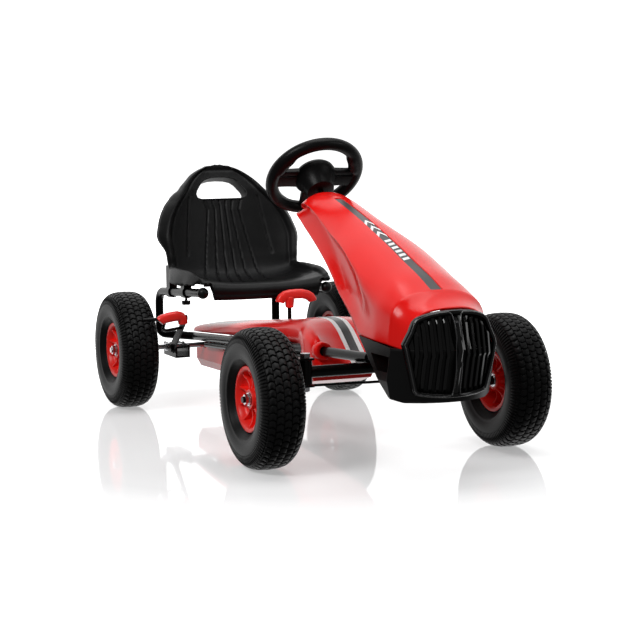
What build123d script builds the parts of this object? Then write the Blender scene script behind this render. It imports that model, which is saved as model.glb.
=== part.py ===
from build123d import *
from math import atan2, cos, degrees, hypot, pi, radians, sin
import os

# Pedal go kart, in millimetres.
# +Z is up, -Y is forwards and -X is the kart's right-hand side.
# The origin is on the ground under the middle of the kart.

# Wheels and axles
FRONT_Y = -312.0
REAR_Y = 477.0
AXLE_Z = 130.0
FRONT_X = 252.0
REAR_X = 263.5
TYRE_R = 130.0
TYRE_HALF_W = 43.0
BEAD_R = 54.0
FLANGE_R = 60.0
AXLE_R = 6.0
RUNNING = 0.05

# Frame
TUBE_R = 9.5
BRACE_R = 6.0
BEAM_R = 11.0
BEAM_Z = 172.0
SIDE_X = 82.0
RAIL_X = 146.0
LEG_Y = 591.5
RAIL_FRONT_Y = 294.0
KINGPIN_X = 165.0
TUBE_SLOPE = 0.069

# Steering
COLUMN_TILT = 44.2
WHEEL_HUB_Y = 14.5
WHEEL_HUB_Z = 522.0
RING_R = 90.0
RING_TUBE_R = 13.0
PITMAN_R = 34.0
ARM_LENGTH = 36.0

# Drive
CRANK_Y = -42.0
CRANK_Z = 153.0
CRANK_ARM = 90.0
ARM_X = 104.0
CRANK_TEETH = 18
REAR_TEETH = 16
CHAIN_PITCH = 12.7
PEDAL_ANGLE = 60.0

# Levers
BRAKE_PIVOT = (448.0, 130.0)
BRAKE_GRIP = (350.0, 208.0)
GEAR_PIVOT = (44.0, 260.0, 160.0)

# Seat
CLAMP_Y = (401.0, 500.0)
RAIL_DIR = (0, 1, -0.067)

# Body
SHELL = 3.0
NOSE_Y = -607.0
CREASE_Z = 235.0
UPPER_LEAN = 0.30
LOWER_LEAN = 0.25


def tube_z(y):
    """Height of the side tubes' axis at a given y."""
    return AXLE_Z + 17.0 + TUBE_SLOPE * (REAR_Y - y)


def rail_z(y):
    """Height of the seat rails' axis at a given y."""
    return 266.0 - 0.067 * (y - RAIL_FRONT_Y)


def save(name, shape):
    """Write one named piece."""
    export_step(shape, "parts/" + name + ".step")


def pair(shape):
    """A right-hand piece together with its left-hand twin."""
    return Compound(children=[shape, mirrored(shape)])


def rod(a, b, r):
    """Round bar from one point to another."""
    along = Vector(*b) - Vector(*a)
    return Solid.make_cylinder(r, along.length, Plane(origin=a, z_dir=along))


def ring(centre, axis, r_out, r_in, length):
    """Round sleeve centred on a point."""
    plane = Plane(origin=centre, z_dir=axis)
    outer = Solid.make_cylinder(r_out, length, plane.offset(-length / 2))
    inner = Solid.make_cylinder(r_in, length + 2, plane.offset(-length / 2 - 1))
    return outer - inner


def disc(centre, axis, r, length):
    """Solid round piece centred on a point."""
    plane = Plane(origin=centre, z_dir=axis)
    return Solid.make_cylinder(r, length, plane.offset(-length / 2))


def box(x0, x1, y0, y1, z0, z1):
    """Block between two corners."""
    return Pos(x0, y0, z0) * Solid.make_box(x1 - x0, y1 - y0, z1 - z0)


def bent_rod(points, r, bend):
    """Round bar along a path with rounded corners."""
    path = FilletPolyline(*points, radius=bend)
    start = Plane(origin=path @ 0, z_dir=path % 0)
    return sweep(start * Circle(r), path=path).solid()


def bent_tube(points, r, wall, bend):
    """Hollow tube along a path with rounded corners."""
    path = FilletPolyline(*points, radius=bend)
    start = Plane(origin=path @ 0, z_dir=path % 0)
    section = start * (Circle(r) - Circle(r - wall))
    return sweep(section, path=path).solid()


def mirrored(shape):
    """The same piece for the other side of the kart."""
    return mirror(shape, about=Plane.YZ)


def turned(points, centre):
    """Solid of revolution about a lateral axis, from (x, radius) points."""
    outline = Polyline(*[(x, r) for x, r in points], close=True)
    face = make_face(Plane.XY * outline)
    solid = revolve(face, axis=Axis.X)
    return Pos(*centre) * solid


# ---------------------------------------------------------------- wheels

def tyre(centre):
    """Hollow turf tyre with its beads on the rim."""
    outer = [(24.2, 61.5), (36, 72), (TYRE_HALF_W, 93), (40.5, 112), (30, 125), (15, 129.2)]
    inner = [(12, 122), (26, 118.5), (34, 108), (36.5, 93), (31, 77), (18.5, 63)]
    tread = Spline(*outer, (0, TYRE_R), *[(-x, r) for x, r in reversed(outer)])
    cavity = Spline(*[(-x, r) for x, r in reversed(inner)], (0, 122.6), *inner)
    left = Polyline((-24.2, 61.5), (-24.2, BEAD_R), (-18.5, BEAD_R), (-18.5, 63))
    right = Polyline((18.5, 63), (18.5, BEAD_R), (24.2, BEAD_R), (24.2, 61.5))
    section = make_face([tread, left, cavity, right])
    return Pos(*centre) * revolve(section, axis=Axis.X)


def inner_tube(centre):
    """Air-filled tube inside the tyre."""
    outer = Ellipse(28, 26)
    inner = Ellipse(26, 24)
    section = Pos(0, 88) * (outer - inner)
    return Pos(*centre) * revolve(section, axis=Axis.X)


def rim(centre, side, bore):
    """Ribbed plastic rim; side is +1 when its outer face looks along +X."""
    barrel = [
        (-27, 51), (-27, FLANGE_R), (-24.2, FLANGE_R), (-24.2, BEAD_R), (24.2, BEAD_R),
        (24.2, FLANGE_R), (27, FLANGE_R), (27, 51), (11, 49), (11, 19), (24, 18), (24, 13),
        (15.8, 13), (15.8, bore), (-15.8, bore), (-15.8, 13), (-24, 13), (-24, 18),
        (6, 19), (6, 50),
    ]
    body = turned(barrel, (0, 0, 0))
    rib = box(10.9, 18, -2, 2, 18.2, 50)
    for i in range(10):
        body = body + Rot(36 * i, 0, 0) * rib
    if side < 0:
        body = mirrored(body)
    return Pos(*centre) * body


def bearing_pair(centre, bore):
    """The wheel's two bearings."""
    x, y, z = centre
    return Compound(children=[ring((x + s * 19.9, y, z), (1, 0, 0), 13, bore, 8) for s in (-1, 1)])


def axle_nut(x, y, side):
    """Washer and hexagon nut on an axle's end."""
    washer = ring((x + side * 1.25, y, AXLE_Z), (1, 0, 0), 12, AXLE_R, 2)
    plane = Plane(origin=(x + side * 2.3, y, AXLE_Z), z_dir=(side, 0, 0))
    nut = extrude(plane * RegularPolygon(10, 6), 7) - disc((x + side * 6, y, AXLE_Z), (1, 0, 0), AXLE_R, 16)
    return [washer, nut.solid()]


# ---------------------------------------------------------------- frame

def side_tube():
    """Right lower tube: from the seat leg, beside the chain cover, to the front beam."""
    y_in = REAR_Y + 45
    path = [
        (-RAIL_X, LEG_Y, 164.0),
        (-RAIL_X, LEG_Y, 147.0),
        (-SIDE_X, y_in, tube_z(y_in)),
        (-SIDE_X, -110, tube_z(-110)),
        (-58, -350, 197),
    ]
    return bent_tube(path, TUBE_R, 1.5, 16)


def seat_rail():
    """Right seat rail with its rear leg, one bent tube."""
    front = (-RAIL_X, RAIL_FRONT_Y, rail_z(RAIL_FRONT_Y))
    path = [front, (-RAIL_X, LEG_Y, rail_z(LEG_Y)), (-RAIL_X, LEG_Y, 164.2)]
    return bent_tube(path, TUBE_R, 1.5, 30)


def rail_caps():
    """Round plastic plugs in the seat rails' open front ends."""
    x, y, z = -RAIL_X, RAIL_FRONT_Y, rail_z(RAIL_FRONT_Y)
    ball = Solid.make_sphere(12.5, Plane((x, y - 4, z)))
    stem = disc((x, y + 6, z - 0.4), RAIL_DIR, TUBE_R - 1.6, 24)
    head = ball & box(x - 20, x + 20, y - 20, y - 0.9, z - 20, z + 20)
    stem = stem - box(x - 20, x + 20, y - 30, y - 0.9, z - 20, z + 20)
    return pair((head + stem).solid())


def brace_tube():
    """Thin right brace just under the side tube."""
    a = (-SIDE_X, 452, tube_z(452) - 16.2)
    b = (-SIDE_X, -112, tube_z(-112) - 16.2)
    return rod(a, b, BRACE_R)


def bearing_brackets():
    """Channels for the rear axle and plates for the crank, welded to the side tubes."""
    channel = box(-161, -127, 436, 520, 108, 137)
    channel = channel - box(-157, -131, 430, 530, 112, 140)
    channel = channel - disc((-144, REAR_Y, AXLE_Z), (1, 0, 0), 10, 60)
    plate = box(-72.4, -68.4, CRANK_Y - 16, CRANK_Y + 16, CRANK_Z - 14, CRANK_Z + 37)
    plate = plate - disc((-70.4, CRANK_Y, CRANK_Z), (1, 0, 0), 10, 30)
    return Compound(children=[channel, mirrored(channel), plate, mirrored(plate)])


def frame_bushes():
    """Plain bushes of the rear axle and the crank."""
    bushes = [ring((x, REAR_Y, AXLE_Z), (1, 0, 0), 10, AXLE_R + RUNNING, 4) for x in (-159, -129, 129, 159)]
    bushes += [ring((x, CRANK_Y, CRANK_Z), (1, 0, 0), 10, AXLE_R + RUNNING, 8) for x in (-70.4, 70.4)]
    return Compound(children=bushes)


def front_beam():
    """Front cross tube with an upright kingpin barrel at each end."""
    ends = KINGPIN_X - 8
    bar = rod((-ends, FRONT_Y, BEAM_Z), (ends, FRONT_Y, BEAM_Z), BEAM_R)
    bar = bar - rod((-140, FRONT_Y, BEAM_Z), (140, FRONT_Y, BEAM_Z), BEAM_R - 2)
    for s in (-1, 1):
        centre = (s * KINGPIN_X, FRONT_Y, BEAM_Z)
        bar = (bar + disc(centre, (0, 0, 1), 13, 44)) - disc(centre, (0, 0, 1), AXLE_R + RUNNING, 50)
    return bar.solid()


# ---------------------------------------------------------------- chain cover

def cover_section(y, half, z_low, z_side, z_top, shoulder):
    """Closed cross-section of the cover's upper shell at one station."""
    z_curve = z_top - 0.37 * (z_top - z_side)
    crown = [(half - 2, z_side), (shoulder, z_curve), (0, z_top), (-shoulder, z_curve), (2 - half, z_side)]
    outline = [
        Line((-half, z_low), (half, z_low)),
        Line((half, z_low), (half - 2, z_side)),
        Spline(*crown),
        Line((2 - half, z_side), (-half, z_low)),
    ]
    return Plane((0, y, 0), x_dir=(1, 0, 0), z_dir=(0, -1, 0)) * make_face(outline)


def cover_body(inset, low):
    """Solid inside the upper shell's outer (inset 0) or inner surface."""
    stations = [
        (561, 64, 158, 165), (545, 78, 160, 171), (400, 80, 175, 189), (250, 80, 192, 205),
        (60, 80, 210, 226), (-60, 80, 221, 240), (-90, 80, 219, 237), (-112, 80, 214, 231),
        (-116, 80, 213, 229), (-150, 76, 190, 206), (-180, 70, 172, 182), (-197, 58, 163, 168),
    ]
    faces = []
    for y, half, z_side, z_top in stations:
        y_in = min(max(y, -197 + inset), 561 - inset)
        z_low = (tube_z(y) + TUBE_R + 1.2 if y > -114 else 156) - low
        faces.append(cover_section(y_in, half - inset, z_low, z_side - inset, z_top - inset, half * 0.62))
    return loft(faces, ruled=True)


def shoulders(inset):
    """Blocks at the cover's front corners that wrap the side tubes."""
    blocks = []
    for s in (-1, 1):
        outline = Polyline(
            (s * 60, -118 - inset), (s * (95 - inset), -118 - inset), (s * (95 - inset), -150),
            (s * (87 - inset), -184 + inset), (s * 60, -184 + inset), close=True,
        )
        face = Plane.XY.offset(152 + inset) * make_face(outline)
        blocks.append(extrude(face, 61 - 2 * inset))
    return blocks


def side_tube_channel():
    """Clearance for the two side tubes and braces."""
    cuts = []
    path = [(-SIDE_X, 700, tube_z(700)), (-SIDE_X, -110, tube_z(-110)), (-58, -350, 197)]
    line = FilletPolyline(*path, radius=16)
    start = Plane(origin=line @ 0, z_dir=line % 0)
    wide = sweep(start * Circle(TUBE_R + 0.8), path=line).solid()
    thin = rod((-SIDE_X, 700, tube_z(700) - 16.2), (-SIDE_X, -114, tube_z(-114) - 16.2), BRACE_R + 0.8)
    for cut in (wide, thin):
        cuts.append(cut)
        cuts.append(mirrored(cut))
    return cuts


def chain_cover_upper():
    """Upper half of the chain cover, with the shoulders and tube collars."""
    shell = cover_body(0, 0)
    hollow = cover_body(SHELL, 30)
    for block in shoulders(0):
        shell = shell + block
    for s in (-1, 1):
        collar = disc((s * 77.5, -190, tube_z(-190) + 0.6), (s * -0.1, -1, 0.05), 15.5, 26)
        shell = shell + collar
    shell = shell - hollow
    for block in shoulders(SHELL):
        shell = shell - block
    for cut in side_tube_channel():
        shell = shell - cut
    return shell


def chain_cover_lower():
    """Lower tray of the chain cover."""
    outer = cover_tray(0, 0)
    inner = cover_tray(SHELL, 40)
    tray = outer - inner
    for s in (-1, 1):
        tray = tray - disc((s * 78, CRANK_Y, CRANK_Z), (1, 0, 0), 13, 30)
        tray = tray - disc((s * 78, REAR_Y, AXLE_Z), (1, 0, 0), 9, 60)
    for cut in side_tube_channel():
        tray = tray - cut
    return tray


def cover_tray(inset, lift):
    """Solid inside the tray's outer (inset 0) or inner surface."""
    stations = [(560, 66, 84), (535, 76, 74), (300, 78, 80), (60, 78, 96), (-60, 76, 107), (-115, 72, 122)]
    faces = []
    for y, half, z_low in stations:
        y_in = min(max(y, -115 + inset), 560 - inset)
        z_high = tube_z(y) - 16.2 - BRACE_R - 1.2
        wide = half - inset
        outline = Polyline(
            (wide, z_high + lift), (wide, z_low + 18), (wide - 10, z_low + inset),
            (10 - wide, z_low + inset), (-wide, z_low + 18), (-wide, z_high + lift), close=True,
        )
        faces.append(Plane((0, y_in, 0), x_dir=(1, 0, 0), z_dir=(0, -1, 0)) * make_face(outline))
    return loft(faces, ruled=True)


# ---------------------------------------------------------------- drive

def sprocket(centre, teeth, x_width):
    """Toothed chain wheel with its bore."""
    pitch_r = CHAIN_PITCH / (2 * sin(pi / teeth))
    tooth = ((0.0, -4), (0.25, -2.6), (0.42, 3.4), (0.58, 3.4), (0.75, -2.6))
    outline = []
    for i in range(teeth):
        for step, proud in tooth:
            r = pitch_r + proud
            a = 2 * pi * (i + step) / teeth
            outline.append((r * cos(a), r * sin(a)))
    face = make_face(Polyline(*outline, close=True)) - Circle(AXLE_R)
    for i in range(5):
        a = 2 * pi * i / 5
        hole = Pos(0.6 * pitch_r * cos(a), 0.6 * pitch_r * sin(a)) * Circle(0.16 * pitch_r)
        face = face - hole
    plane = Plane(origin=(centre[0] - x_width / 2, centre[1], centre[2]), x_dir=(0, 1, 0), z_dir=(1, 0, 0))
    return extrude(plane * face, x_width)


def chain():
    """Chain loop: two rows of side plates joined by pins on the straight runs."""
    crank_r = CHAIN_PITCH / (2 * sin(pi / CRANK_TEETH))
    rear_r = CHAIN_PITCH / (2 * sin(pi / REAR_TEETH))
    run = hypot(REAR_Y - CRANK_Y, AXLE_Z - CRANK_Z)
    tilt = degrees(atan2(AXLE_Z - CRANK_Z, REAR_Y - CRANK_Y))

    def band(grow):
        hull = make_hull([*Circle(crank_r + grow).edges(), *(Pos(run, 0) * Circle(rear_r + grow)).edges()])
        return hull

    loop = band(4) - band(-4)
    parts = [extrude(Pos(0, 0, z) * loop, 1.2).solid() for z in (2.6, -3.8)]
    body = parts[0] + parts[1]
    slope = (crank_r - rear_r) / run
    count = int((run - 60) / CHAIN_PITCH)
    for i in range(count):
        along = 30 + CHAIN_PITCH * i
        for s in (-1, 1):
            pin = Pos(along, s * (crank_r - slope * along)) * Circle(2)
            body = body + extrude(Pos(0, 0, -3) * pin, 6)
    plane = Plane(origin=(0, CRANK_Y, CRANK_Z), x_dir=(0, 1, 0), z_dir=(1, 0, 0))
    return plane * (Rot(0, 0, tilt) * body)


def crank():
    """Crank axle with its two arms and pedal pins, one bent bar."""
    dy = CRANK_ARM * cos(radians(PEDAL_ANGLE))
    dz = CRANK_ARM * sin(radians(PEDAL_ANGLE))
    return bent_rod([
        (-196, CRANK_Y + dy, CRANK_Z - dz), (-ARM_X, CRANK_Y + dy, CRANK_Z - dz),
        (-ARM_X, CRANK_Y, CRANK_Z), (ARM_X, CRANK_Y, CRANK_Z),
        (ARM_X, CRANK_Y - dy, CRANK_Z + dz), (196, CRANK_Y - dy, CRANK_Z + dz),
    ], AXLE_R, 11)


def pedal(side):
    """Plastic block pedal on its pin."""
    dy = CRANK_ARM * cos(radians(PEDAL_ANGLE)) * -side
    dz = CRANK_ARM * sin(radians(PEDAL_ANGLE)) * side
    y, z = CRANK_Y + dy, CRANK_Z + dz
    block = box(119, 190, -27, 27, -11, 11)
    block = block - disc((155, 0, 0), (1, 0, 0), AXLE_R + RUNNING, 100)
    for edge in (-15, -7.5, 0, 7.5, 15):
        for face in (-11, 11):
            block = block - box(117, 192, edge - 1.2, edge + 1.2, face - 1.5, face + 1.5)
    if side < 0:
        block = mirrored(block)
    return Pos(0, y, z) * block


def pedal_caps():
    """Push-on caps at the pedal pins' ends."""
    dy = CRANK_ARM * cos(radians(PEDAL_ANGLE))
    dz = CRANK_ARM * sin(radians(PEDAL_ANGLE))
    caps = []
    for s in (-1, 1):
        caps.append(ring((s * 193, CRANK_Y - s * dy, CRANK_Z + s * dz), (1, 0, 0), 9, AXLE_R, 4))
    return Compound(children=caps)


def rear_axle():
    """Rear axle bar with a threaded stub at each end."""
    return rod((-300, REAR_Y, AXLE_Z), (300, REAR_Y, AXLE_Z), AXLE_R)


def rear_fasteners():
    """Nuts and washers at the axle's ends and the collars beside its bushes."""
    parts = [ring((x, REAR_Y, AXLE_Z), (1, 0, 0), 9, AXLE_R, 10) for x in (-167, 167)]
    for s in (-1, 1):
        parts += axle_nut(s * (REAR_X + 24.3), REAR_Y, s)
    return Compound(children=parts)


# ---------------------------------------------------------------- hood and nose

def hood_wires(inset, low):
    """Cross-section faces of the red hood, rear to front."""
    stations = [
        (-38, 491, 50, 471, 57, 441), (-77, 484, 54, 463, 62, 424), (-117, 476, 57, 450, 66, 406),
        (-217, 446, 68, 416, 76, 356), (-317, 412, 82, 386, 88, 297), (-417, 375, 94, 338, 102, 249),
        (-467, 356, 95, 318, 102, 246), (-517, 334, 90, 306, 98, 242), (-560, 319, 84, 294, 92, 239),
        (-612, 309, 76, 284, 84, 236),
    ]
    faces = []
    for y, z_top, crease, z_crease, edge, z_edge in stations:
        y_in = y + (1 if inset and y == -38 else 0) - (1 if inset and y == -612 else 0)
        zt, zc = z_top - inset, z_crease - inset
        x_mid, z_mid = crease * 0.6, zt - 7
        crown = [(-crease + inset, zc), (-x_mid, z_mid), (0, zt), (x_mid, z_mid), (crease - inset, zc)]
        outline = [
            Spline(*crown),
            Line((crease - inset, zc), (edge - inset, z_edge - low)),
            Line((edge - inset, z_edge - low), (inset - edge, z_edge - low)),
            Line((inset - edge, z_edge - low), (inset - crease, zc)),
        ]
        faces.append(Plane((0, y_in, 0), x_dir=(1, 0, 0), z_dir=(0, -1, 0)) * make_face(outline))
    return faces


def plan_front(depth):
    """Plan outline of the nose, set back from its front arc by depth."""
    arc = ThreePointArc((-104, -552 + depth), (0, NOSE_Y + depth), (104, -552 + depth))
    back = Polyline((104, -552 + depth), (104, 160), (-104, 160), (-104, -552 + depth))
    return make_face([arc, back])


def behind_grille(depth, height):
    """Everything behind the grille's curved front, which juts out at a crease, set back by depth."""
    rise = CREASE_Z - 130
    ground = Plane.XY.offset(130)
    upper = extrude(ground * plan_front(depth - UPPER_LEAN * rise), height, dir=(0, UPPER_LEAN, 1))
    lower = extrude(ground * plan_front(depth + LOWER_LEAN * rise), height, dir=(0, -LOWER_LEAN, 1))
    return upper & lower


def hood():
    """Red moulded hood, open underneath and at the grille."""
    shell = loft(hood_wires(0, 0), ruled=True) - loft(hood_wires(SHELL, 40), ruled=True)
    return shell & behind_grille(10.2, 420)


def nose_profile(inset):
    """Side outline of the black nose shell, as (y, z)."""
    return [
        (-414 - inset, 247.6), (-470, 244.4), (-640, 232.6), (-640, 142 + inset * 2),
        (-545, 142 + inset), (-522 - inset, 150 + inset),
    ]


def nose_block(inset, lift):
    """Solid inside the nose's outer (inset 0) or inner surface."""
    top = [(y, z + (lift if z > 230 else 0)) for y, z in nose_profile(inset)]
    side = Plane((-130, 0, 0), x_dir=(0, 1, 0), z_dir=(1, 0, 0)) * make_face(Polyline(*top, close=True))
    block = extrude(side, 260)
    front = Polyline(
        (-104 + inset, 260 + lift), (-108 + inset, 200), (-97 + inset, 142),
        (97 - inset, 142), (108 - inset, 200), (104 - inset, 260 + lift), close=True,
    )
    block = block & extrude(Plane((0, 0, 0), x_dir=(1, 0, 0), z_dir=(0, -1, 0)) * make_face(front), 700)
    return block & behind_grille(10.2 + inset, 260)


def nose_shell():
    """Black lower nose moulding behind the grille."""
    return nose_block(0, 0) - nose_block(SHELL, 30)


def hexagon(shrink):
    """Six-sided front outline of the grille with an arched top, as a face in the X-Z plane."""
    right = [
        (0, 304 - shrink), (32, 302 - shrink), (58 - shrink / 2, 296 - shrink),
        (72 - shrink, 286 - shrink / 2), (91 - shrink, 245), (69 - shrink, 157 + shrink),
    ]
    points = right + [(-x, z) for x, z in reversed(right[1:])]
    return Plane((0, -400, 0), x_dir=(1, 0, 0), z_dir=(0, -1, 0)) * make_face(Polyline(*points, close=True))


def behind_grille_slab(front, thick):
    """Curved, creased slab that the grille is cut from."""
    return behind_grille(front, 200) - behind_grille(front + thick, 210)


def grille_frame():
    """Gloss black six-sided grille surround."""
    return behind_grille_slab(0, 7.2) & (extrude(hexagon(0), 300) - extrude(hexagon(8), 300))


def grille_insert():
    """Back plate with upright slats and a wider middle bar, one moulding."""
    opening = extrude(hexagon(8.2), 300)
    insert = behind_grille_slab(8.6, 1.4) & opening
    region = behind_grille_slab(1.2, 7.8) & opening
    insert = insert + (behind_grille_slab(0, 9) & opening & box(-6, 6, -640, -500, 130, 330))
    for i in range(5):
        x = 19.5 + 12.6 * i
        for s in (-1, 1):
            insert = insert + (region & box(s * x - 2.6, s * x + 2.6, -640, -500, 130, 330))
    return insert


def nose_brackets():
    """Two arms from the side tubes' front ends to the back wall of the nose."""
    end = Vector(-58, -350, 197)
    ahead = (end - Vector(-82, -110, tube_z(-110))).normalized()
    arm = rod(end, end + ahead * 8, TUBE_R) + rod(end + ahead * 4, (-48, -480, 225), 6)
    arm = arm - nose_block(0, 0)
    return pair(arm.solids().sort_by(Axis.Y)[-1])


# ---------------------------------------------------------------- steering

COLUMN_DIR = (0, cos(radians(COLUMN_TILT)), sin(radians(COLUMN_TILT)))


def on_column(t, side=0.0, across=0.0):
    """Point on the column axis, t above the wheel hub, then offset sideways and across."""
    _, c, s = COLUMN_DIR
    return (side, WHEEL_HUB_Y + t * c - across * s, WHEEL_HUB_Z + t * s + across * c)


def column_plane(t):
    """Plane across the column, x to the kart's left."""
    return Plane(origin=on_column(t), x_dir=(1, 0, 0), z_dir=COLUMN_DIR)


def steering_wheel():
    """Moulded steering wheel: rim, three spokes and hub."""
    rim_ring = column_plane(0) * Solid.make_torus(RING_R, RING_TUBE_R)
    hub = Solid.make_cylinder(38, 22, column_plane(-12))
    neck = Solid.make_cylinder(26, 34, column_plane(-44))
    wheel = rim_ring + hub + neck
    for angle, half in ((0, 19), (180, 19), (90, 12)):
        spoke = box(20, RING_R, -half, half, -10, 4)
        wheel = wheel + column_plane(0) * (Rot(0, 0, angle) * spoke)
    socket = Solid.make_cylinder(6.3, 50, column_plane(-45))
    return wheel - socket


def hub_cap():
    """Domed cover on the steering wheel's hub."""
    dome = Solid.make_cylinder(24, 6, column_plane(10.1))
    return fillet(dome.edges().filter_by(GeomType.CIRCLE).sort_by(Axis.Z)[-1:], 4)


def steering_shaft():
    """Steering shaft from the wheel down to the arm that moves the tie rods."""
    return rod(on_column(-527), on_column(4.9), AXLE_R)


def pitman_arm():
    """Arm at the shaft's foot with a pin for the tie rods."""
    arm = box(-10, 10, -11, PITMAN_R + 8, -4, 0) - Solid.make_cylinder(AXLE_R, 30, Plane((0, 0, -15)))
    for z, r, length in ((-16, 3, 28), (-17.5, 4.5, 1.5), (12, 4.5, 1.5)):
        arm = arm + Solid.make_cylinder(r, length, Plane((0, PITMAN_R, z)))
    return column_plane(-510) * arm


def column_tube():
    """Fixed outer tube of the steering column, welded to the front beam."""
    tube = rod(on_column(-500), on_column(-88), 11)
    tube = tube - rod(on_column(-501), on_column(-87), 9)
    foot = box(-10, 10, FRONT_Y - 4, FRONT_Y + 4, BEAM_Z + 2, BEAM_Z + 32)
    tube = tube + (foot - rod(on_column(-501), on_column(-87), 10.5))
    return tube - rod((-40, FRONT_Y, BEAM_Z), (40, FRONT_Y, BEAM_Z), BEAM_R)


def column_bushes():
    """Plastic bushes at the ends of the column tube."""
    return Compound(children=[ring(on_column(t), COLUMN_DIR, 9, AXLE_R + RUNNING, 16) for t in (-97, -491)])


def knuckle():
    """Right steering knuckle: fork round the kingpin barrel, stub axle and tie-rod arm."""
    x = -KINGPIN_X
    fork = box(x - 22, x - 18, FRONT_Y - 16, FRONT_Y + 16, 116, 199)
    for z in (145, 195):
        fork = fork + box(x - 18, x + 13, FRONT_Y - 13, FRONT_Y + 13, z, z + 4)
    fork = fork + box(x - 9, x + 9, FRONT_Y + 12, FRONT_Y + ARM_LENGTH + 9, 145, 149)
    fork = fork - disc((x, FRONT_Y, BEAM_Z), (0, 0, 1), AXLE_R, 80)
    fork = fork + rod((x - 22, FRONT_Y, AXLE_Z), (-FRONT_X + 24.7, FRONT_Y, AXLE_Z), 9)
    fork = fork + rod((x - 22, FRONT_Y, AXLE_Z), (-FRONT_X - 38, FRONT_Y, AXLE_Z), AXLE_R)
    fork = fork + disc((x, FRONT_Y + ARM_LENGTH, 141.5), (0, 0, 1), 3, 9)
    return fork + disc((x, FRONT_Y + ARM_LENGTH, 136.5), (0, 0, 1), 5, 2)


def knuckle_fasteners():
    """Right kingpin bolt with its nut, and the wheel's washer and nut."""
    x = -KINGPIN_X
    pin = rod((x, FRONT_Y, 136), (x, FRONT_Y, 205), AXLE_R)
    head = extrude(Plane((x, FRONT_Y, 199.2)) * RegularPolygon(10, 6), 8)
    nut = extrude(Plane((x, FRONT_Y, 137.5)) * RegularPolygon(10, 6), 7)
    bolt = (pin + head + nut).solid()
    return Compound(children=[bolt, *axle_nut(-FRONT_X - 24.3, FRONT_Y, -1)])


def tie_rod(side, along):
    """Tie rod from a knuckle arm to the steering arm's pin."""
    x, y = side * KINGPIN_X, FRONT_Y + ARM_LENGTH
    _, c, s = COLUMN_DIR
    base = on_column(-510, 0, -PITMAN_R)
    end = (0, base[1] + along * c, base[2] + along * s)
    outer = ring((x, y, 141.2), (0, 0, 1), 7.5, 3 + RUNNING, 6)
    inner = ring(end, COLUMN_DIR, 8.5, 5.4, 4)
    bar = rod((x - side * 5.2, y, 141.2), (side * 7.1, end[1] - 0.5, end[2]), 2.6)
    return outer + bar + inner


# ---------------------------------------------------------------- seat

def seat_blank():
    """Moulded seat shell before the hand hole is cut."""
    stations = [
        (285, 252, 122, 0, 12), (280, 268, 130, 0, 20), (289, 284, 138, 0, 24), (330, 279, 152, 0, 26),
        (400, 271, 162, 0, 30), (455, 271, 161, -6, 32), (492, 288, 156, -18, 24), (513, 330, 160, -32, 8),
        (526, 370, 165, -36, 4), (548, 440, 151, -30, 2), (569, 494, 118, -16, 0), (579, 520, 84, -6, 0),
        (584, 534, 36, -1, 0),
    ]
    rows = []
    for y, z, half, dy, dz in stations:
        bends = [(u / 5, abs(u / 5) ** 3) for u in range(-5, 6)]
        rows.append([(half * u, y + dy * bend, z + dz * bend) for u, bend in bends])
    surface = Face.make_surface_from_array_of_points(rows)
    return Solid.thicken(surface, -4.5)


def seat_shell():
    """Bucket seat with its hand hole."""
    outline = Polyline((-61, 462), (61, 462), (62, 474), (38, 504), (-38, 504), (-62, 474), close=True)
    plane = Plane((0, 640, 0), x_dir=(1, 0, 0), z_dir=(0, -1, 0))
    return seat_blank() - extrude(plane * make_face(outline), 160)


def seat_clamps():
    """Four clamps that hold the seat on its rails."""
    seat = seat_blank()
    parts = []
    for y in CLAMP_Y:
        z = rail_z(y)
        block = box(-RAIL_X - 9, -RAIL_X + 9, y - 12, y + 12, z, z + 60) - seat
        block = block.solids().sort_by(Axis.Z)[0]
        sleeve = ring((-RAIL_X, y, z), RAIL_DIR, 13, TUBE_R + RUNNING, 24)
        clamp = (sleeve + block) - disc((-RAIL_X, y, z), RAIL_DIR, TUBE_R + RUNNING, 40)
        clamp = max(clamp.solids(), key=lambda piece: piece.volume)
        parts += [clamp, mirrored(clamp)]
    return Compound(children=parts)


def clamp_knobs():
    """Clamping knobs under the front pair of clamps."""
    y = CLAMP_Y[0]
    z = rail_z(y) - 13.4
    knob = rod((-RAIL_X, y, z), (-RAIL_X, y, z - 10), 3)
    knob = knob + rod((-RAIL_X, y, z - 5), (-RAIL_X, y, z - 14), 7)
    for a in range(0, 360, 72):
        lobe_x = 7 * cos(radians(a)) - RAIL_X
        lobe_y = 7 * sin(radians(a)) + y
        knob = knob + rod((lobe_x, lobe_y, z - 5), (lobe_x, lobe_y, z - 14), 3)
    return Compound(children=[knob.solid(), mirrored(knob.solid())])


# ---------------------------------------------------------------- levers

def brake_lever():
    """Flat brake lever bar with the handle rod that meets the tyre and a looped stay."""
    x = -165.0
    y0, z0 = BRAKE_PIVOT
    y1, z1 = BRAKE_GRIP
    side = Plane((x - 2, 0, 0), x_dir=(0, 1, 0), z_dir=(1, 0, 0))
    arm = make_hull([*(Pos(y0, z0) * Circle(12)).edges(), *(Pos(y1, z1) * Circle(7)).edges()])
    plate = extrude(side * arm, 4) - disc((x, y0, z0), (1, 0, 0), 5 + RUNNING, 20)
    loop = bent_rod([(x, y1 + 32, z1 - 25), (-212, y1 + 24, z1 - 30), (-212, y1 + 2, z1 - 3)], 3.5, 14)
    bar = rod((x, y1, z1), (-264, y1, z1), 4)
    return plate + bar + loop


def brake_grip():
    """Red sleeve on the brake handle."""
    y, z = BRAKE_GRIP
    return rod((-226, y, z), (-161, y, z), 10.5) - brake_lever()


def brake_pivot():
    """Pivot pin of the brake lever with its head."""
    y, z = BRAKE_PIVOT
    return rod((-161, y, z), (-168, y, z), 5) + rod((-167.6, y, z), (-171, y, z), 9)


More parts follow.
